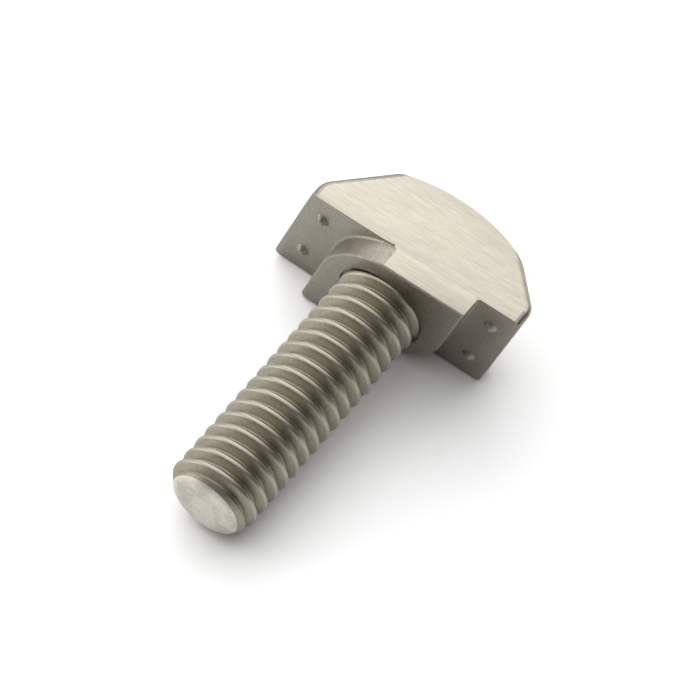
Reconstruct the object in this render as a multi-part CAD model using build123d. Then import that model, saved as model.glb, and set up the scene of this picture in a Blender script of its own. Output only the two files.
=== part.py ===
"""Hammer-head mounting bolt: skewed T head, turn-and-lock neck and a 5/16-18 thread.

The bolt is drawn straight: the thread axis runs along Y with the tip towards -Y,
the wings reach out along X and the ground sides face +Z and -Z. The origin is where
the thread axis meets the clamping plane under the head. Last of all the bolt is
tipped by a few degrees, as it comes to rest on its side.
"""
from build123d import *
import os
from math import atan2, ceil, cos, degrees, hypot, radians, sin, sqrt, tan

# Thread, in millimetres: 5/16 inch, 18 turns to the inch, right-hand. Pieces that
# are joined or cut run past each other by the overlap
major_diameter = 7.94
turns_per_inch = 18
flank_angle = 30.0
crest_share = 1 / 8
depth_share = 0.6134
thread_start = 0.52
turns_per_length = 4
overlap = 0.1

# Length from the clamping plane to the end of the tip, and the turned point
length_under_head = 26.5
point_radius = 3.0
point_length = 1.7
dish_radius = 2.3
dish_depth = 0.25

# Head: plan slanted by skew_angle, all slot-wide parts measure slot_width across
slot_width = 12.0
skew_angle = 16.5
head_length = 21.2
head_height = 6.9
end_height = 1.3
shoulder_reach = 7.0
shoulder_height = 5.1
end_corner_radius = 1.5
acute_edge_radius = 0.7
obtuse_edge_radius = 1.1

# Neck that turns in the slot: two corners square, two rounded off to a radius
# that is larger than half the slot by the swell
neck_height = 2.2
neck_corner_start = 0.0
neck_corner_swell = 1.85
neck_edge_radius = 0.2
neck_root_radius = 0.25
relief_radius = 4.3
relief_depth = 0.35

# Four blunt contact points on the clamping faces
contact_reach = 8.5
contact_offset = 3.1
contact_base_radius = 0.55
contact_tip_radius = 0.15
contact_height = 0.42

# Derived sizes
pitch = 25.4 / turns_per_inch
major_radius = major_diameter / 2
thread_depth = depth_share * pitch
minor_radius = major_radius - thread_depth
half_width = slot_width / 2
half_length = head_length / 2
neck_corner_radius = half_width + neck_corner_swell
skew = radians(skew_angle)
slant = Plane(origin=(0, 0, 0), x_dir=(cos(skew), 0, -sin(skew)), z_dir=(sin(skew), 0, cos(skew)))


def slanted(x, z):
    """Shift a place along X by the slant of the plan at height z."""
    return x + z * tan(skew)


def wing_outline():
    """Both wings seen along the slant: flat ends, rounded corners and long flanks."""
    top = head_height + overlap
    run = (half_length - shoulder_reach) / (shoulder_height - end_height)
    top_reach = shoulder_reach - run * (top - shoulder_height)
    right = [(half_length, 0), (half_length, end_height), (top_reach, top)]
    left = [(-x, y) for x, y in reversed(right)]
    outline = make_face(Polyline(*[(x * cos(skew), y) for x, y in right + left], close=True))
    corners = [v for v in outline.vertices() if abs(v.Y - end_height) < 1e-6]
    return fillet(corners, end_corner_radius)


def over_crown():
    """What lies above the curved back: a block on the shoulders less a round bar along the slant."""
    reach = shoulder_reach * cos(skew)
    drop = head_height - shoulder_height
    radius = (reach**2 + drop**2) / (2 * drop)
    block = Pos(0, end_height + head_height / 2, 0) * Box(2 * (reach + overlap), head_height, 2 * slot_width)
    round_bar = Pos(0, head_height - radius, 0) * Cylinder(radius, 3 * slot_width)
    return slant * (block - round_bar)


def head():
    """Wings pushed through along the slant, ground to width, rounded and crowned."""
    body = extrude(slant * wing_outline(), amount=slot_width, both=True)
    body = body & Box(4 * head_length, 4 * head_height, slot_width)
    for side in (-1, 1):
        for level in (-1, 1):
            acute = side * level > 0
            radius = acute_edge_radius if acute else obtuse_edge_radius
            rims = [e for e in body.edges() if on_rim(e, side, level)]
            body = fillet(rims, radius)
    return body - over_crown()


def on_rim(edge, side, level):
    """True for the edges of one wing that border the ground side at this level."""
    middle = edge.center()
    flush = abs(middle.Z - level * half_width) < 1e-6
    reach = side * (middle.X - slanted(0, middle.Z))
    return flush and reach > 1e-6 and 1e-6 < middle.Y < head_height


def neck_corner():
    """Centre, start, middle and end of the round corner at -X, +Z."""
    across = (cos(skew), -sin(skew))
    along = (sin(skew), cos(skew))
    start = (neck_corner_start, half_width)
    start_across = start[0] * across[0] + start[1] * across[1]
    start_along = start[0] * along[0] + start[1] * along[1]
    centre_across = neck_corner_radius - half_width
    drop = sqrt(neck_corner_radius**2 - (centre_across - start_across) ** 2)
    centre_along = start_along - drop
    centre = (
        centre_across * across[0] + centre_along * along[0],
        centre_across * across[1] + centre_along * along[1],
    )
    end = (centre[0] - neck_corner_radius * across[0], centre[1] - neck_corner_radius * across[1])
    chord = (start[0] + end[0] - 2 * centre[0], start[1] + end[1] - 2 * centre[1])
    scale = neck_corner_radius / hypot(*chord)
    middle = (centre[0] + chord[0] * scale, centre[1] + chord[1] * scale)
    return start, middle, end


def neck():
    """Slot-wide block whose section is the same after half a turn about the axis."""
    start, middle, end = neck_corner()
    reach = half_width / cos(skew)
    square = (slanted(-reach, -half_width), -half_width)
    turned = [(-x, -z) for x, z in (start, middle, end, square)]
    outline = [
        *Line(turned[3], start).edges(),
        *ThreePointArc(start, middle, end).edges(),
        *Line(end, square).edges(),
        *Line(square, turned[0]).edges(),
        *ThreePointArc(turned[0], turned[1], turned[2]).edges(),
        *Line(turned[2], turned[3]).edges(),
    ]
    block = extrude(Plane.XZ * make_face(outline), amount=neck_height)
    front = block.edges().filter_by_position(Axis.Y, -neck_height, -neck_height)
    return fillet(front, neck_edge_radius)


def contact_point(x, z):
    """Blunt cone standing out from the clamping plane."""
    cone = Cone(
        contact_base_radius, contact_tip_radius, contact_height, align=(Align.CENTER, Align.CENTER, Align.MIN)
    )
    return Plane.XZ * Pos(x, z, 0) * cone


def contact_points():
    """Two contact points on each wing, set out along the slanted plan."""
    places = [(i * contact_reach, j * contact_offset) for i in (-1, 1) for j in (-1, 1)]
    return [contact_point(slanted(x, z), z) for x, z in places]


def thread_ridge():
    """The 60 degree ridge round the core, wound in equal lengths of whole turns."""
    crest_half = crest_share * pitch / 2
    root_half = crest_half + (thread_depth + overlap) * tan(radians(flank_angle))
    section = make_face(
        Polyline(
            (minor_radius - overlap, 0, -root_half),
            (major_radius, 0, -crest_half),
            (major_radius, 0, crest_half),
            (minor_radius - overlap, 0, root_half),
            close=True,
        )
    )
    length = turns_per_length * pitch
    path = Helix(pitch=pitch, height=length, radius=major_radius)
    wound = sweep(section, path=path, is_frenet=True)
    count = ceil((length_under_head - thread_start + pitch) / length)
    return [Plane.XZ * Pos(0, 0, thread_start + i * length) * wound for i in range(count)]


def bar():
    """Round bar from inside the neck to the tapered, dished point.

    It is a little wider than the crests, so that only its point shapes the thread.
    """
    tip = -length_under_head
    start = -neck_height / 2
    taper = (major_radius - point_radius) / point_length
    outline = Polyline(
        (0, start),
        (major_radius + overlap, start),
        (major_radius + overlap, tip + point_length + overlap / taper),
        (point_radius, tip),
        (0, tip),
        close=True,
    )
    dish_ball = (dish_radius**2 + dish_depth**2) / (2 * dish_depth)
    turned = revolve(make_face(outline), axis=Axis.Y)
    return turned - Pos(0, tip + dish_depth - dish_ball, 0) * Sphere(dish_ball)


def shank():
    """Threaded shank: core and ridge, cut to the form of the bar."""
    core = extrude(Plane.XZ * Circle(minor_radius), amount=length_under_head)
    return (core + thread_ridge()) & bar()


def neck_roots(body):
    """Inner corners where the neck's sides rise from the clamping faces."""
    return [
        e
        for e in body.edges().filter_by_position(Axis.Y, 0, 0)
        if abs(e.center().Z) < half_width - 1e-3
        and abs(e.center().X - slanted(0, e.center().Z)) < half_length - 2 * obtuse_edge_radius
    ]


def resting_tilt():
    """Dip of the tip when the neck's lower edge and the last full turn touch the ground."""
    span = length_under_head - point_length - neck_height
    return degrees(atan2(half_width - major_radius, span))


def bolt():
    """Head, neck, contact points and shank as one solid, tipped onto its side."""
    relief = Plane.XZ * Pos(0, 0, neck_height) * Cylinder(
        relief_radius, relief_depth, align=(Align.CENTER, Align.CENTER, Align.MAX)
    )
    body = head() + neck()
    body = fillet(neck_roots(body), neck_root_radius) - relief
    body = body + contact_points()
    return Rot(resting_tilt(), 0, 0) * (body + shank())


if __name__ == "__main__":
    os.makedirs("parts", exist_ok=True)
    export_step(bolt(), "parts/hammer_head_bolt.step")
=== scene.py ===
import math

import bmesh
import bpy
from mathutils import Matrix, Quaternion, Vector


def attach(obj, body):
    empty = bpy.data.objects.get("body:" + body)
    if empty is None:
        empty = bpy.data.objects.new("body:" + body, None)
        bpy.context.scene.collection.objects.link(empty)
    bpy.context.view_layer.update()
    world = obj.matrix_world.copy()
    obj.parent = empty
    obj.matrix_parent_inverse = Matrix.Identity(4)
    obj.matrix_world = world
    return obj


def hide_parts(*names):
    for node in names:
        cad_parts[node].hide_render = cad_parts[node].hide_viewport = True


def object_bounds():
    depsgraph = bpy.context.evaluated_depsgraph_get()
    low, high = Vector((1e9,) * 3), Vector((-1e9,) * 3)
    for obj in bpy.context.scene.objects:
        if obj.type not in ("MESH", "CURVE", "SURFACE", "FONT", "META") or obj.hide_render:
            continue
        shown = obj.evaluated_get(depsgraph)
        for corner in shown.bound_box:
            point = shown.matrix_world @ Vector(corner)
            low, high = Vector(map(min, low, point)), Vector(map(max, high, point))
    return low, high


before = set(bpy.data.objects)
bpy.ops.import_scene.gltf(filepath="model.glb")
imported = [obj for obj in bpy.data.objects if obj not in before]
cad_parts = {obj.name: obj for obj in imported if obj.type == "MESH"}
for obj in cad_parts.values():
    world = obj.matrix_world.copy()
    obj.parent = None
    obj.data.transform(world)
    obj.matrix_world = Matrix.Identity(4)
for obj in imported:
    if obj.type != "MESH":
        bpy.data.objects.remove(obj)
cad_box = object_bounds()

# The bolt is modelled in millimetres, straight, with the thread axis along Y and the
# tip towards -Y. At the end it is scaled to metres and tipped onto its side.
MM = 0.001

# Thread, 5/16 inch with 18 turns to the inch
MAJOR_RADIUS = 3.97
PITCH = 25.4 / 18
THREAD_DEPTH = 0.6134 * PITCH
MINOR_RADIUS = MAJOR_RADIUS - THREAD_DEPTH
# The crest, as drops below the full radius at distances from its highest line: eased
# towards the tip and crisp towards the head
CREST_TIP_SIDE = ((0.12, 0.24), (0.08, 0.2), (0.055, 0.15), (0.012, 0.04))
CREST_HEAD_SIDE = ((0.05, 0.12), (0.015, 0.09), (0.0, 0.05))
ROOT_RADIUS = 0.16
ROOT_STEPS = 3
FLANK = math.radians(30)
THREAD_START = 0.52
RUN_IN = 1.5 * PITCH
TURNS = 22
TURN_STEPS = 80

# Shank, from the clamping plane to the end of the tip
LENGTH = 26.5
LAST_FULL_TURN = 24.8
POINT_RADIUS = 3.0
POINT_LENGTH = 1.3
POINT_ROUND = 0.6
POINT_STEPS = 6
DISH_RADIUS = 2.3
DISH_DEPTH = 0.25
DISH_RINGS = (1.0, 0.8, 0.6, 0.4, 0.2)
BAR_SIDES = 192
SHANK_TOP = 1.5
CLEARANCE = 0.3

# Head. Each flank starts at its end height and rises by its share of the way inwards;
# the crown is an oval bar, shifted a little towards -X
WIDTH = 12.0
HALF_WIDTH = WIDTH / 2
SKEW = math.radians(16.5)
HALF_LENGTH = 10.524
HEAD_HEIGHT = 6.894
LEFT_END_HEIGHT = 1.64
LEFT_FLANK_RISE = 1.06
RIGHT_END_HEIGHT = 1.9
RIGHT_FLANK_RISE = 1.2
ROUGH_HEIGHT = 7.4
CROWN_REACH = 9.0
CROWN_FOOT = 3.5
CROWN_SHIFT = -0.55
CROWN_HALF_LENGTH = 12.76
CROWN_HALF_HEIGHT = 9.0
END_CORNER_RADIUS = 1.6
END_CORNER_STEPS = 8
ACUTE_EDGE_RADIUS = 0.5
OBTUSE_EDGE_RADIUS = 0.65
RIM_STEPS = 6
CROWN_SIDES = 320

# Neck, relief ring and contact points
NECK_HEIGHT = 2.2
NECK_CORNER_RADIUS = 7.85
NECK_CORNER_STEPS = 28
NECK_EDGE = 0.2
NECK_EDGE_STEPS = 3
NECK_ROOT = 0.25
NECK_ROOT_STEPS = 4
EDGE_BREAK = 0.04
EDGE_BREAK_STEPS = 2
SHARP_EDGE = math.radians(35)
LOBE_ROUND = 0.5
LOBE_STEPS = 5
RELIEF_RADIUS = 4.15
RELIEF_DEPTH = 0.3
RELIEF_SIDES = 160
CONTACT_REACH = 8.5
CONTACT_OFFSET = 3.1
CONTACT_BASE = 0.64
CONTACT_TIP = 0.22
CONTACT_HEIGHT = 0.42
CONTACT_SUNK = 0.1
CONTACT_ROUND = 0.12
CONTACT_STEPS = 4
CONTACT_SIDES = 40

# The bolt rests on the neck's lower edge and on the last full turn of thread
TILT = math.atan2(HALF_WIDTH - MAJOR_RADIUS, LAST_FULL_TURN - NECK_HEIGHT)

# How closely places and directions have to agree
CLOSE = 1e-4
SLACK = 1e-3
ROLLED_SLACK = 0.01
FLAT = 0.999
SMOOTH_ANGLE = math.radians(30)

# The ground rounds: how far above the clamping plane they start, how far they face sideways
RIM_START = 1
RIM_FACING = 0.2

# Material slots of the finished mesh
GROUND, FORGED, ROLLED, TIP = range(4)

# Steel colours, from dark to bright
GROUND_LINES = ((0.34, (0.52, 0.48, 0.395)), (0.5, (0.63, 0.59, 0.495)), (0.66, (0.725, 0.685, 0.585)))
GROUND_BLOTCH = (0.61, 0.56, 0.475)
FORGED_SAND = ((0.3, (0.30, 0.28, 0.23)), (0.5, (0.41, 0.385, 0.325)), (0.7, (0.53, 0.505, 0.44)))
FORGED_SPOT = (0.29, 0.26, 0.21)
FORGED_BLOTCH = (0.50, 0.46, 0.38)
ROLLED_GRAIN = ((0.3, (0.39, 0.36, 0.285)), (0.5, (0.475, 0.44, 0.35)), (0.7, (0.555, 0.52, 0.43)))
# Painted shade in the thread's roots
ROLLED_ROOT_SHADE = (0.34, 0.31, 0.235)
# Painted highlight on the thread's crests
ROLLED_CREST_HIGHLIGHT = (0.63, 0.595, 0.51)
ROLLED_PIT = (0.14, 0.12, 0.09)
TIP_GRAIN = ((0.3, (0.82, 0.79, 0.71)), (0.5, (0.93, 0.9, 0.81)), (0.7, (1.0, 0.97, 0.9)))
TIP_BLOTCH = (0.62, 0.59, 0.52)

# The crests' painted highlight, in depths below their top, and the roots' painted shade, darker and browner,
# in height above their floor
CREST_HIGHLIGHT_DEPTH = (0.05, 0.16)
ROOT_SHADE_HEIGHT = 0.35

# Depths of the steels' relief
BRUSH_DEPTH = 0.004
SAND_DEPTH = 0.01
SPOT_DEPTH = 0.02
GRAIN_DEPTH = 0.008
MARK_DEPTH = 0.002
TIP_GRAIN_DEPTH = 0.015

# Camera, as the photograph was taken
CAMERA_AZIMUTH = math.radians(29.3214)
CAMERA_ELEVATION = math.radians(53.5273)
CAMERA_ROLL = math.radians(8.2556)
CAMERA_AIM = Vector((-0.3832, -5.3966, -3.3395)) * MM
CAMERA_DISTANCE = 575.855 * MM
CAMERA_LENS = 360.0
CAMERA_SENSOR = 36.0
CAMERA_CLIP = (0.01, 10)

# White table: how it lights the bolt, how the camera sees it, how the steel mirrors it
FLOOR_SIZE = 4
FLOOR_ALBEDO = 0.7
FLOOR_SEEN = 1.66
FLOOR_MIRRORED = 1.05

# Light tent: the way each part of it lies, where its edge fades, and how bright it is
OVERHEAD = (-0.28, 0.3, 0.91)
OVERHEAD_EDGE = (0.42, 0.86)
OVERHEAD_LIGHT = 1.15
HORIZON_LIGHT = 0.1
BACKDROP = (-0.15, 0.95, -0.3)
BACKDROP_EDGE = (0.6, 0.9)
BACKDROP_LIGHT = 1.0
WINDOW = (-0.88, -0.47, 0.1)
WINDOW_EDGE = (0.88, 0.96)
WINDOW_LIGHT = 2.2
OPENING = (0.95, 0.25, 0.05)
OPENING_EDGE = (0.45, 0.82)
OPENING_LIGHT = 0.15

# Soft lamp at the upper left, in metres
KEY_SIZE = (0.4, 0.4)
KEY_PLACE = (-0.34, 0.26, 0.38)
KEY_AIM = (0, -0.01, 0)
KEY_RADIANCE = 0.6


def only(obj):
    """Make one object the selected and active one."""
    bpy.ops.object.select_all(action="DESELECT")
    obj.select_set(True)
    bpy.context.view_layer.objects.active = obj
    return obj


def start_edit(obj):
    """Open the mesh for editing with nothing selected."""
    only(obj)
    bpy.ops.object.mode_set(mode="EDIT")
    bpy.ops.mesh.select_mode(type="VERT")
    bpy.ops.mesh.select_all(action="DESELECT")


def end_edit():
    """Close the mesh again."""
    bpy.ops.object.mode_set(mode="OBJECT")


def pick(kind, test):
    """Select the vertices, edges or faces whose middle passes the test."""
    mesh = bmesh.from_edit_mesh(bpy.context.edit_object.data)
    bpy.ops.mesh.select_mode(type=kind)
    bpy.ops.mesh.select_all(action="DESELECT")
    if kind == "FACE":
        passed = [face for face in mesh.faces if test(face.calc_center_median(), face.normal)]
    elif kind == "EDGE":
        ends = {edge: [vert.co for vert in edge.verts] for edge in mesh.edges}
        passed = [edge for edge, (a, b) in ends.items() if test((a + b) / 2, b - a)]
    else:
        passed = [vert for vert in mesh.verts if test(vert.co)]
    for part in passed:
        part.select_set(True)
    bmesh.update_edit_mesh(bpy.context.edit_object.data)


def near(a, b, slack=CLOSE):
    return abs(a - b) < slack


def combine(obj, tool, operation):
    """Join, cut or trim obj with another closed solid, which is used up."""
    modifier = obj.modifiers.new(operation.lower(), "BOOLEAN")
    modifier.operation = operation
    modifier.solver = "EXACT"
    modifier.object = tool
    only(obj)
    bpy.ops.object.modifier_apply(modifier=modifier.name)
    bpy.data.objects.remove(tool, do_unlink=True)
    return obj


def set_down(obj):
    """Put an object's place, turn and scale into its mesh."""
    only(obj)
    bpy.ops.object.transform_apply(location=True, rotation=True, scale=True)


def named_primitive(name):
    """The primitive that was added last, under a name of its own."""
    obj = bpy.context.active_object
    obj.name = name
    return obj


def slant_x(x, z):
    """Shift a place along X by the slant of the plan at height z."""
    return x + z * math.tan(SKEW)


def round_length(radius, corner):
    """How far from a corner of that inside angle a round of that radius starts."""
    return radius / math.tan(corner / 2)


def wings():
    """Block cut to the two flanks, rounded at the ends, slanted, with rounded rims."""
    bpy.ops.mesh.primitive_cube_add(
        size=1, location=(0, ROUGH_HEIGHT / 2, 0), scale=(2 * HALF_LENGTH, ROUGH_HEIGHT, WIDTH)
    )
    block = named_primitive("head")
    set_down(block)
    start_edit(block)
    flanks = ((-1, LEFT_END_HEIGHT, LEFT_FLANK_RISE), (1, RIGHT_END_HEIGHT, RIGHT_FLANK_RISE))
    for side, end_height, rise in flanks:
        bpy.ops.mesh.select_all(action="SELECT")
        bpy.ops.mesh.bisect(
            plane_co=(side * HALF_LENGTH, end_height, 0),
            plane_no=(side * rise, 1, 0),
            use_fill=True,
            clear_outer=True,
            threshold=CLOSE / 10,
        )
    for side, end_height, rise in flanks:
        end = Vector((side * HALF_LENGTH, end_height, 0))
        corner = math.pi - math.atan2(1, rise)
        pick("EDGE", lambda c, d: near((c - end).length, 0))
        bpy.ops.mesh.bevel(
            offset=round_length(END_CORNER_RADIUS, corner),
            segments=END_CORNER_STEPS,
            offset_type="OFFSET",
        )
    for side in (-1, 1):
        pick("VERT", lambda c: side * c.z > 1)
        bpy.ops.transform.translate(value=(side * HALF_WIDTH * math.tan(SKEW), 0, 0))
    for side in (-1, 1):
        for level in (-1, 1):
            acute = side * level > 0
            radius = ACUTE_EDGE_RADIUS if acute else OBTUSE_EDGE_RADIUS
            corner = math.pi / 2 - SKEW if acute else math.pi / 2 + SKEW
            pick(
                "EDGE",
                lambda c, d: near(c.z, level * HALF_WIDTH)
                and side * (c.x - slant_x(0, c.z)) > 1
                and SLACK < c.y < ROUGH_HEIGHT - SLACK,
            )
            bpy.ops.mesh.bevel(
                offset=round_length(radius, corner),
                segments=RIM_STEPS,
                offset_type="OFFSET",
                miter_outer="SHARP",
            )
    end_edit()
    return block


def over_crown():
    """What is cut away above the back: a block less an oval bar laid along the slant."""
    bpy.ops.mesh.primitive_cube_add(
        size=1,
        location=(0, HEAD_HEIGHT, 0),
        rotation=(0, SKEW, 0),
        scale=(2 * CROWN_REACH * math.cos(SKEW), 2 * (HEAD_HEIGHT - CROWN_FOOT), 2 * WIDTH),
    )
    block = named_primitive("over crown")
    set_down(block)
    bpy.ops.mesh.primitive_cylinder_add(
        vertices=CROWN_SIDES,
        radius=1,
        depth=3 * WIDTH,
        location=(CROWN_SHIFT, HEAD_HEIGHT - CROWN_HALF_HEIGHT, 0),
        rotation=(0, SKEW, 0),
        scale=(CROWN_HALF_LENGTH * math.cos(SKEW), CROWN_HALF_HEIGHT, 1),
    )
    bar = named_primitive("crown bar")
    set_down(bar)
    return combine(block, bar, "DIFFERENCE")


def corner_arc():
    """Centre and turn of the neck's round corner at -X, +Z, and where it starts."""
    start = Vector((0, HALF_WIDTH))
    across = Vector((math.cos(SKEW), -math.sin(SKEW)))
    along = Vector((math.sin(SKEW), math.cos(SKEW)))
    centre_across = NECK_CORNER_RADIUS - HALF_WIDTH
    drop = math.sqrt(NECK_CORNER_RADIUS**2 - (centre_across - start.dot(across)) ** 2)
    centre = centre_across * across + (start.dot(along) - drop) * along
    turn = (start - centre).angle(-across)
    return start, centre, turn


def draw_to(x, z):
    """Pull the selected end vertex of the outline on to the next corner."""
    mesh = bmesh.from_edit_mesh(bpy.context.edit_object.data)
    here = next(v.co.copy() for v in mesh.verts if v.select)
    bpy.ops.mesh.extrude_vertices_move(TRANSFORM_OT_translate={"value": (x - here.x, 0, z - here.z)})


def neck():
    """Slot-wide block drawn as an outline, the same after half a turn, and pulled out."""
    start, centre, turn = corner_arc()
    square = Vector((-HALF_WIDTH / math.cos(SKEW) - HALF_WIDTH * math.tan(SKEW), -HALF_WIDTH))
    bpy.ops.mesh.primitive_plane_add(size=1, location=(start.x, 0, start.y))
    block = named_primitive("neck")
    set_down(block)
    start_edit(block)
    bpy.ops.mesh.select_all(action="SELECT")
    bpy.ops.mesh.merge(type="CENTER")
    for half in (1, -1):
        bpy.ops.mesh.spin(
            steps=NECK_CORNER_STEPS, angle=turn, center=(half * centre.x, 0, half * centre.y), axis=(0, 1, 0)
        )
        draw_to(half * square.x, half * square.y)
        draw_to(-half * start.x, -half * start.y)
    bpy.ops.mesh.select_all(action="SELECT")
    bpy.ops.mesh.remove_doubles(threshold=SLACK)
    bpy.ops.mesh.edge_face_add()
    bpy.ops.mesh.extrude_region_move(TRANSFORM_OT_translate={"value": (0, -NECK_HEIGHT, 0)})
    bpy.ops.mesh.select_all(action="SELECT")
    bpy.ops.mesh.normals_make_consistent(inside=False)
    pick("EDGE", lambda c, d: near(c.x, square.x) and near(c.z, square.y) and abs(d.y) > 1)
    bpy.ops.mesh.bevel(
        offset=round_length(LOBE_ROUND, math.pi / 2 - SKEW), segments=LOBE_STEPS, offset_type="OFFSET"
    )
    pick("EDGE", lambda c, d: near(c.y, -NECK_HEIGHT))
    bpy.ops.mesh.bevel(offset=NECK_EDGE, segments=NECK_EDGE_STEPS, offset_type="OFFSET")
    end_edit()
    return block


def relief_ring():
    """Disc that leaves a narrow ring round the thread where it meets the neck."""
    bpy.ops.mesh.primitive_cylinder_add(
        vertices=RELIEF_SIDES,
        radius=RELIEF_RADIUS,
        depth=2 * RELIEF_DEPTH,
        location=(0, -NECK_HEIGHT, 0),
        rotation=(math.pi / 2, 0, 0),
    )
    ring = named_primitive("relief")
    set_down(ring)
    return ring


def contact_point(x, z):
    """Blunt cone with a softened tip, standing out from the clamping face."""
    flare = (CONTACT_BASE - CONTACT_TIP) / CONTACT_HEIGHT
    bpy.ops.mesh.primitive_cone_add(
        vertices=CONTACT_SIDES,
        radius1=CONTACT_BASE + CONTACT_SUNK * flare,
        radius2=CONTACT_TIP,
        depth=CONTACT_HEIGHT + CONTACT_SUNK,
        location=(x, (CONTACT_SUNK - CONTACT_HEIGHT) / 2, z),
        rotation=(math.pi / 2, 0, 0),
    )
    cone = named_primitive("contact point")
    set_down(cone)
    start_edit(cone)
    pick("EDGE", lambda c, d: near(c.y, -CONTACT_HEIGHT, SLACK))
    bpy.ops.mesh.bevel(offset=CONTACT_ROUND, segments=CONTACT_STEPS, offset_type="OFFSET")
    end_edit()
    return cone


def round_roots(body):
    """Round the inner corners where the neck's sides rise from the clamping faces."""
    start_edit(body)
    pick(
        "EDGE",
        lambda c, d: near(c.y, 0)
        and abs(c.z) < HALF_WIDTH - SLACK
        and abs(c.x - slant_x(0, c.z)) < HALF_LENGTH - 2 * OBTUSE_EDGE_RADIUS,
    )
    bpy.ops.mesh.bevel(offset=NECK_ROOT, segments=NECK_ROOT_STEPS, offset_type="OFFSET")
    end_edit()


def soften_edges(body):
    """Break the sharp edges by a hair's breadth, so that they catch the light."""
    modifier = body.modifiers.new("soften", "BEVEL")
    modifier.width = EDGE_BREAK
    modifier.segments = EDGE_BREAK_STEPS
    modifier.limit_method = "ANGLE"
    modifier.angle_limit = SHARP_EDGE
    only(body)
    bpy.ops.object.modifier_apply(modifier=modifier.name)


def head():
    """Wings, crown, neck, relief ring and contact points as one closed mesh."""
    body = combine(wings(), over_crown(), "DIFFERENCE")
    combine(body, neck(), "UNION")
    round_roots(body)
    soften_edges(body)
    combine(body, relief_ring(), "DIFFERENCE")
    for side in (-1, 1):
        for level in (-1, 1):
            z = level * CONTACT_OFFSET
            combine(body, contact_point(slant_x(side * CONTACT_REACH, z), z), "UNION")
    return body


def thread_profile():
    """One pitch of the thread: rounded root, flank, crest, flank and half a root again."""
    head_reach, tip_reach = (
        crest[0][1] + (THREAD_DEPTH - crest[0][0]) * math.tan(FLANK)
        for crest in (CREST_HEAD_SIDE, CREST_TIP_SIDE)
    )
    flank_foot = (PITCH - head_reach - tip_reach) / 2
    top = flank_foot + head_reach
    centre = MINOR_RADIUS + (ROOT_RADIUS / math.cos(FLANK) - flank_foot) / math.tan(FLANK)
    turns = [(math.pi / 2 - FLANK) * i / ROOT_STEPS for i in range(ROOT_STEPS + 1)]
    root = [(centre - ROOT_RADIUS * math.cos(a), ROOT_RADIUS * math.sin(a)) for a in turns]
    rise = [(MAJOR_RADIUS - drop, top - away) for drop, away in CREST_HEAD_SIDE]
    fall = [(MAJOR_RADIUS - drop, top + away) for drop, away in reversed(CREST_TIP_SIDE)]
    return root + rise + fall + [(radius, PITCH - up) for radius, up in reversed(root)]


def thread_form():
    """One pitch of the thread, wound up the axis and closed at both ends."""
    outline = thread_profile()
    start = THREAD_START - RUN_IN
    bpy.ops.mesh.primitive_plane_add(size=1, location=(outline[0][0], 0, start))
    form = named_primitive("shank")
    set_down(form)
    start_edit(form)
    bpy.ops.mesh.select_all(action="SELECT")
    bpy.ops.mesh.merge(type="CENTER")
    for here, onward in zip(outline, outline[1:]):
        step = (onward[0] - here[0], 0, onward[1] - here[1])
        bpy.ops.mesh.extrude_vertices_move(TRANSFORM_OT_translate={"value": step})
    end_edit()
    wind = form.modifiers.new("wind", "SCREW")
    wind.axis = "Z"
    wind.angle = 2 * math.pi
    wind.screw_offset = PITCH
    wind.iterations = TURNS
    wind.steps = TURN_STEPS
    wind.render_steps = TURN_STEPS
    wind.use_merge_vertices = True
    wind.merge_threshold = CLOSE
    only(form)
    bpy.ops.object.modifier_apply(modifier=wind.name)
    start_edit(form)
    bpy.ops.mesh.select_all(action="SELECT")
    bpy.ops.mesh.remove_doubles(threshold=CLOSE)
    for end in (0, 1):
        bpy.ops.mesh.select_mode(type="EDGE")
        bpy.ops.mesh.select_all(action="DESELECT")
        mesh = bmesh.from_edit_mesh(form.data)
        for edge in mesh.edges:
            low = (edge.verts[0].co.z + edge.verts[1].co.z) / 2 < LENGTH / 2
            if edge.is_boundary and low == (end == 0):
                edge.select_set(True)
        bmesh.update_edit_mesh(form.data)
        bpy.ops.mesh.extrude_edges_move(
            TRANSFORM_OT_translate={"value": (0, 0, (2 * end - 1) * PITCH)}
        )
        bpy.ops.mesh.merge(type="CENTER")
    bpy.ops.mesh.select_all(action="SELECT")
    bpy.ops.mesh.normals_make_consistent(inside=False)
    end_edit()
    return form


def turned_bar():
    """Bar with a tapered point and a dished end, standing on the clamping plane."""
    taper = (MAJOR_RADIUS - POINT_RADIUS) / POINT_LENGTH
    wide = MAJOR_RADIUS + CLEARANCE
    shoulder = LENGTH - (wide - POINT_RADIUS) / taper
    bpy.ops.mesh.primitive_cylinder_add(
        vertices=BAR_SIDES,
        radius=wide,
        depth=shoulder - SHANK_TOP,
        location=(0, 0, (shoulder + SHANK_TOP) / 2),
    )
    bar = named_primitive("bar")
    set_down(bar)
    start_edit(bar)
    pick("FACE", lambda c, n: n.z > FLAT)
    bpy.ops.mesh.extrude_region_move(TRANSFORM_OT_translate={"value": (0, 0, LENGTH - shoulder)})
    bpy.ops.transform.resize(value=(POINT_RADIUS / wide, POINT_RADIUS / wide, 1))
    ball = (DISH_RADIUS**2 + DISH_DEPTH**2) / (2 * DISH_DEPTH)
    radius = POINT_RADIUS
    depth = 0.0
    for share in DISH_RINGS:
        ring = share * DISH_RADIUS
        sunk = DISH_DEPTH - (ball - math.sqrt(ball**2 - ring**2))
        bpy.ops.mesh.inset(thickness=radius - ring, depth=0)
        bpy.ops.transform.translate(value=(0, 0, depth - sunk))
        radius = ring
        depth = sunk
    rim = (POINT_RADIUS + DISH_RADIUS) / 2
    pick("EDGE", lambda c, d: near(c.z, LENGTH) and math.hypot(c.x, c.y) > rim)
    bpy.ops.mesh.bevel(offset=POINT_ROUND, segments=POINT_STEPS, offset_type="OFFSET")
    end_edit()
    return bar


def shank():
    """Thread trimmed to the turned bar and swung round to lie along -Y."""
    form = combine(thread_form(), turned_bar(), "INTERSECT")
    form.rotation_euler = (math.pi / 2, 0, 0)
    set_down(form)
    return form


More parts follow.
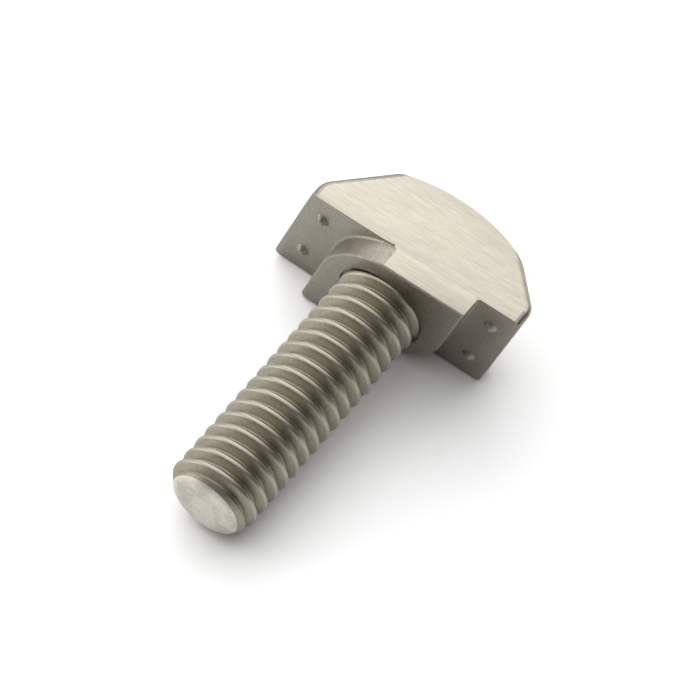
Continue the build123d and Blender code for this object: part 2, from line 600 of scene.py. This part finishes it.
def on_rim(c, n):
    """True for the rounds over the flanks' sharper rims, which are ground bright too."""
    sharper = (c.x > 0) == (c.z > 0) and abs(c.z) > HALF_WIDTH - ACUTE_EDGE_RADIUS
    return sharper and c.y > RIM_START and abs(n.z) > RIM_FACING


def sort_surfaces(body):
    """Give each face the slot of the way that its part of the bolt was made."""
    relief_floor = NECK_HEIGHT - RELIEF_DEPTH
    corners = body.data.vertices
    for face in body.data.polygons:
        c, n = face.center, face.normal
        away = max(math.hypot(corners[i].co.x, corners[i].co.z) for i in face.vertices)
        side = abs(n.z) > FLAT and abs(c.z) > HALF_WIDTH - SLACK
        if side or on_rim(c, n):
            face.material_index = GROUND
        elif away < POINT_RADIUS + POINT_ROUND / 2 and c.y < POINT_ROUND - LENGTH:
            face.material_index = TIP
        elif away < MAJOR_RADIUS + ROLLED_SLACK and c.y < -relief_floor - SLACK:
            face.material_index = ROLLED
        else:
            face.material_index = FORGED


def bolt():
    """Head and shank as one mesh with its steels, in metres, tipped onto its side."""
    body = head()
    combine(body, shank(), "UNION")
    body.name = body.data.name = "mounting_bolt"
    body.data.materials.clear()
    for material in (ground_steel(), forged_steel(), rolled_steel(), dull_tip()):
        body.data.materials.append(material)
    sort_surfaces(body)
    body.scale = (MM, MM, MM)
    body.rotation_euler = (TILT, 0, 0)
    set_down(body)
    only(body)
    bpy.ops.object.shade_smooth_by_angle(angle=SMOOTH_ANGLE)
    return body


class Finish:
    """A steel material whose patterns are laid out in millimetres on the straight bolt."""

    def __init__(self, name, colour, roughness):
        self.material = bpy.data.materials.new(name)
        self.material.use_nodes = True
        self.nodes = self.material.node_tree.nodes
        self.links = self.material.node_tree.links
        self.shader = self.nodes["Principled BSDF"]
        self.shader.inputs["Base Color"].default_value = (*colour, 1)
        self.shader.inputs["Metallic"].default_value = 1
        self.shader.inputs["Roughness"].default_value = roughness
        place = self.nodes.new("ShaderNodeTexCoord")
        straight = self.nodes.new("ShaderNodeMapping")
        straight.vector_type = "TEXTURE"
        straight.inputs["Rotation"].default_value = (TILT, 0, 0)
        straight.inputs["Scale"].default_value = (MM, MM, MM)
        self.links.new(place.outputs["Object"], straight.inputs["Vector"])
        self.place = straight.outputs["Vector"]

    def node(self, kind, **values):
        """A node with its settings and inputs; an input given as a socket is linked."""
        made = self.nodes.new(kind)
        for key, value in values.items():
            if hasattr(made, key):
                setattr(made, key, value)
                continue
            socket = made.inputs[int(key[1:])] if key[0] == "i" and key[1:].isdigit() else made.inputs[key]
            if isinstance(value, bpy.types.NodeSocket):
                self.links.new(value, socket)
            else:
                socket.default_value = value
        return made

    def maths(self, operation, a, b=0.0, c=0.0):
        """One step of arithmetic."""
        return self.node("ShaderNodeMath", operation=operation, i0=a, i1=b, i2=c).outputs[0]

    def stretched(self, x, y, z):
        """The place on the bolt, in millimetres, times a scale along each axis."""
        return self.node(
            "ShaderNodeVectorMath", operation="MULTIPLY", i0=self.place, i1=(x, y, z)
        ).outputs[0]

    def noise(self, vector, scale=1.0, detail=3.0, roughness=0.55):
        """Soft noise, finer with a larger scale."""
        return self.node(
            "ShaderNodeTexNoise", Vector=vector, Scale=scale, Detail=detail, Roughness=roughness
        ).outputs["Fac"]

    def between(self, value, low, high, to_low=0.0, to_high=1.0):
        """The value, carried over from one range to another."""
        return self.node(
            "ShaderNodeMapRange", i0=value, i1=low, i2=high, i3=to_low, i4=to_high
        ).outputs[0]

    def mix(self, share, a, b):
        """A colour that goes from a to b."""
        made = self.nodes.new("ShaderNodeMix")
        made.data_type = "RGBA"
        sockets = {s.identifier: s for s in made.inputs}
        for key, value in (("Factor_Float", share), ("A_Color", a), ("B_Color", b)):
            if isinstance(value, bpy.types.NodeSocket):
                self.links.new(value, sockets[key])
            elif key == "Factor_Float":
                sockets[key].default_value = value
            else:
                sockets[key].default_value = (*value, 1)
        return next(s for s in made.outputs if s.identifier == "Result_Color")

    def ramp(self, value, *stops):
        """A colour ramp through (position, colour) stops."""
        made = self.node("ShaderNodeValToRGB", Fac=value)
        line = made.color_ramp
        while len(line.elements) < len(stops):
            line.elements.new(0.5)
        for element, (position, colour) in zip(line.elements, stops):
            element.position = position
            element.color = (*colour, 1)
        return made.outputs[0]

    def bump(self, height, depth, below=None):
        """Relief of that depth in millimetres, laid over another bump."""
        made = self.node("ShaderNodeBump", Height=height, Distance=depth * MM, Strength=1.0)
        if below is not None:
            self.links.new(below, made.inputs["Normal"])
        return made.outputs[0]

    def wear(self, colour, roughness, normal):
        """The material, with its patterns plugged in."""
        for key, value in (("Base Color", colour), ("Roughness", roughness), ("Normal", normal)):
            self.links.new(value, self.shader.inputs[key])
        return self.material


def ground_steel():
    """Ground sides: fine brush lines along X, uneven in strength, a little mottled."""
    steel = Finish("ground_steel", (0.78, 0.74, 0.64), 0.4)
    fine = steel.noise(steel.stretched(0.9, 18.0, 18.0), detail=4.0, roughness=0.7)
    broad = steel.noise(steel.stretched(0.25, 5.0, 5.0), detail=3.0, roughness=0.6)
    blotch = steel.noise(steel.stretched(0.5, 0.7, 0.7), detail=4.0)
    line = steel.maths("ADD", steel.maths("MULTIPLY", fine, 0.6), steel.maths("MULTIPLY", broad, 0.4))
    metal = steel.ramp(line, *GROUND_LINES)
    metal = steel.mix(steel.between(blotch, 0.35, 0.7, 0.0, 0.4), metal, GROUND_BLOTCH)
    rough = steel.between(line, 0.3, 0.7, 0.5, 0.36)
    return steel.wear(metal, rough, steel.bump(line, BRUSH_DEPTH))


def forged_steel():
    """Forged faces: satin and sandy, with small lighter and darker spots."""
    steel = Finish("forged_steel", (0.46, 0.435, 0.375), 0.45)
    sand = steel.noise(steel.place, scale=6.0, detail=5.0, roughness=0.75)
    spots = steel.noise(steel.place, scale=2.6, detail=3.0, roughness=0.6)
    blotch = steel.noise(steel.place, scale=0.6, detail=3.0)
    metal = steel.ramp(sand, *FORGED_SAND)
    metal = steel.mix(steel.between(spots, 0.55, 0.72, 0.0, 0.5), metal, FORGED_SPOT)
    metal = steel.mix(steel.between(blotch, 0.45, 0.7, 0.0, 0.3), metal, FORGED_BLOTCH)
    rough = steel.between(sand, 0.3, 0.7, 0.5, 0.36)
    return steel.wear(metal, rough, steel.bump(sand, SAND_DEPTH, steel.bump(spots, SPOT_DEPTH)))


def rolled_steel():
    """Rolled thread: crests painted paler as a highlight, roots painted darker and browner as shade, and a
    few pits.
    """
    steel = Finish("rolled_thread_steel", (0.56, 0.53, 0.45), 0.36)
    parts = steel.node("ShaderNodeSeparateXYZ", i0=steel.place)
    across = steel.node("ShaderNodeCombineXYZ", i0=parts.outputs[0], i2=parts.outputs[2])
    away = steel.node("ShaderNodeVectorMath", operation="LENGTH", i0=across.outputs[0]).outputs["Value"]
    # Crest mask: where the painted highlight lies, towards the full radius
    crest = steel.between(away, MAJOR_RADIUS - CREST_HIGHLIGHT_DEPTH[1], MAJOR_RADIUS - CREST_HIGHLIGHT_DEPTH[0])
    # Root mask: where the painted shade lies, growing towards the root
    root_shade = steel.between(away, MINOR_RADIUS + ROOT_SHADE_HEIGHT, MINOR_RADIUS)
    drawn = steel.node(
        "ShaderNodeCombineXYZ", i0=steel.maths("MULTIPLY", away, 22.0), i1=parts.outputs[1]
    )
    marks = steel.noise(drawn.outputs[0], detail=3.0, roughness=0.6)
    grain = steel.noise(steel.place, scale=5.0, detail=4.0, roughness=0.65)
    metal = steel.ramp(grain, *ROLLED_GRAIN)
    # Painted shade: the roots turn darker and browner
    metal = steel.mix(steel.maths("MULTIPLY", root_shade, 0.5), metal, ROLLED_ROOT_SHADE)
    # Painted highlight: the crests turn paler
    metal = steel.mix(steel.maths("MULTIPLY", crest, 0.75), metal, ROLLED_CREST_HIGHLIGHT)
    pits = steel.noise(steel.place, scale=1.7, detail=1.0)
    metal = steel.mix(steel.between(pits, 0.77, 0.79, 0.0, 0.7), metal, ROLLED_PIT)
    rough = steel.between(crest, 0.0, 1.0, 0.46, 0.42)
    normal = steel.bump(grain, GRAIN_DEPTH, steel.bump(marks, MARK_DEPTH))
    return steel.wear(metal, rough, normal)


def dull_tip():
    """End of the tip: pale, dull and blotched."""
    steel = Finish("dull_tip_steel", (0.6, 0.58, 0.52), 0.5)
    grain = steel.noise(steel.place, scale=4.0, detail=4.0, roughness=0.6)
    blotch = steel.noise(steel.place, scale=0.55, detail=3.0)
    metal = steel.ramp(grain, *TIP_GRAIN)
    metal = steel.mix(steel.between(blotch, 0.45, 0.65, 0.0, 0.6), metal, TIP_BLOTCH)
    rough = steel.between(grain, 0.3, 0.7, 0.62, 0.5)
    return steel.wear(metal, rough, steel.bump(grain, TIP_GRAIN_DEPTH))


def camera():
    """Long lens on the bolt, turned a little about its line of sight."""
    back = Vector(
        (
            math.sin(CAMERA_AZIMUTH) * math.cos(CAMERA_ELEVATION),
            -math.cos(CAMERA_AZIMUTH) * math.cos(CAMERA_ELEVATION),
            math.sin(CAMERA_ELEVATION),
        )
    )
    place = CAMERA_AIM + back * CAMERA_DISTANCE
    bpy.ops.object.camera_add(location=place)
    eye = bpy.context.active_object
    eye.name = "camera"
    eye.rotation_mode = "QUATERNION"
    turned = (-back).to_track_quat("-Z", "Y")
    turned.rotate(Quaternion(back, CAMERA_ROLL))
    eye.rotation_quaternion = turned
    eye.data.lens = CAMERA_LENS
    eye.data.sensor_width = CAMERA_SENSOR
    eye.data.clip_start, eye.data.clip_end = CAMERA_CLIP
    bpy.context.scene.camera = eye


def node_maths(tree, operation, *terms):
    """One step of arithmetic in a node tree; a term given as a socket is linked."""
    made = tree.nodes.new("ShaderNodeMath")
    made.operation = operation
    for socket, value in zip(made.inputs, terms):
        if isinstance(value, bpy.types.NodeSocket):
            tree.links.new(value, socket)
        else:
            socket.default_value = value
    return made.outputs[0]


def floor(height):
    """White table, which the camera and the steel see paler than it lights the bolt."""
    bpy.ops.mesh.primitive_plane_add(size=FLOOR_SIZE, location=(0, 0, height))
    ground = bpy.context.active_object
    ground.name = "floor"
    set_down(ground)
    material = bpy.data.materials.new("white_table")
    material.use_nodes = True
    tree = material.node_tree
    tree.nodes.remove(tree.nodes["Principled BSDF"])
    table = tree.nodes.new("ShaderNodeBsdfDiffuse")
    ray = tree.nodes.new("ShaderNodeLightPath").outputs
    seen = node_maths(tree, "MULTIPLY", ray["Is Camera Ray"], FLOOR_SEEN - FLOOR_ALBEDO)
    mirrored = node_maths(tree, "MULTIPLY", ray["Is Glossy Ray"], FLOOR_MIRRORED - FLOOR_ALBEDO)
    paler = node_maths(tree, "ADD", seen, mirrored)
    direct = node_maths(tree, "LESS_THAN", ray["Diffuse Depth"], 0.5)
    albedo = node_maths(tree, "MULTIPLY_ADD", paler, direct, FLOOR_ALBEDO)
    tree.links.new(albedo, table.inputs["Color"])
    tree.links.new(table.outputs[0], tree.nodes["Material Output"].inputs["Surface"])
    ground.data.materials.append(material)


def lamp(name, size, place, aim, radiance):
    """Soft rectangular lamp whose face is as bright as the radiance says."""
    bpy.ops.object.light_add(type="AREA", location=place)
    light = bpy.context.active_object
    light.name = name
    light.data.shape = "RECTANGLE"
    light.data.size = size[0]
    light.data.size_y = size[1]
    light.data.energy = radiance * math.pi * size[0] * size[1]
    light.rotation_mode = "QUATERNION"
    light.rotation_quaternion = (Vector(aim) - Vector(place)).to_track_quat("-Z", "Y")


def glow(tree, direction, towards, edge, light):
    """Light that fades between two strengths with the angle from one direction."""
    facing = tree.nodes.new("ShaderNodeVectorMath")
    facing.operation = "DOT_PRODUCT"
    facing.inputs[1].default_value = Vector(towards).normalized()
    tree.links.new(direction, facing.inputs[0])
    share = tree.nodes.new("ShaderNodeMapRange")
    share.interpolation_type = "SMOOTHSTEP"
    for name, value in zip(("From Min", "From Max", "To Min", "To Max"), edge + light):
        share.inputs[name].default_value = value
    tree.links.new(facing.outputs["Value"], share.inputs["Value"])
    return share.outputs[0]


def studio():
    """Light tent, brightest overhead, with a dark opening towards +X; the camera sees it white."""
    world = bpy.data.worlds.new("studio")
    bpy.context.scene.world = world
    world.use_nodes = True
    tree = world.node_tree
    direction = tree.nodes.new("ShaderNodeTexCoord").outputs["Generated"]
    roof = glow(tree, direction, OVERHEAD, OVERHEAD_EDGE, (HORIZON_LIGHT, OVERHEAD_LIGHT))
    back = glow(tree, direction, BACKDROP, BACKDROP_EDGE, (0.0, BACKDROP_LIGHT))
    opening = glow(tree, direction, OPENING, OPENING_EDGE, (1.0, OPENING_LIGHT))
    window = glow(tree, direction, WINDOW, WINDOW_EDGE, (0.0, WINDOW_LIGHT))
    lit = node_maths(tree, "MAXIMUM", node_maths(tree, "MAXIMUM", roof, back), window)
    tent = node_maths(tree, "MULTIPLY", lit, opening)
    seen = tree.nodes.new("ShaderNodeLightPath").outputs["Is Camera Ray"]
    background = tree.nodes["Background"]
    tree.links.new(node_maths(tree, "MAXIMUM", tent, seen), background.inputs["Strength"])
    background.inputs["Color"].default_value = (1, 1, 1, 1)
    lamp("key_softbox", KEY_SIZE, KEY_PLACE, KEY_AIM, KEY_RADIANCE)


bpy.context.scene.view_settings.view_transform = "Standard"
piece = bolt()
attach(piece, "root")
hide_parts("hammer_head_bolt")
camera()
floor(cad_box[0].z)
studio()
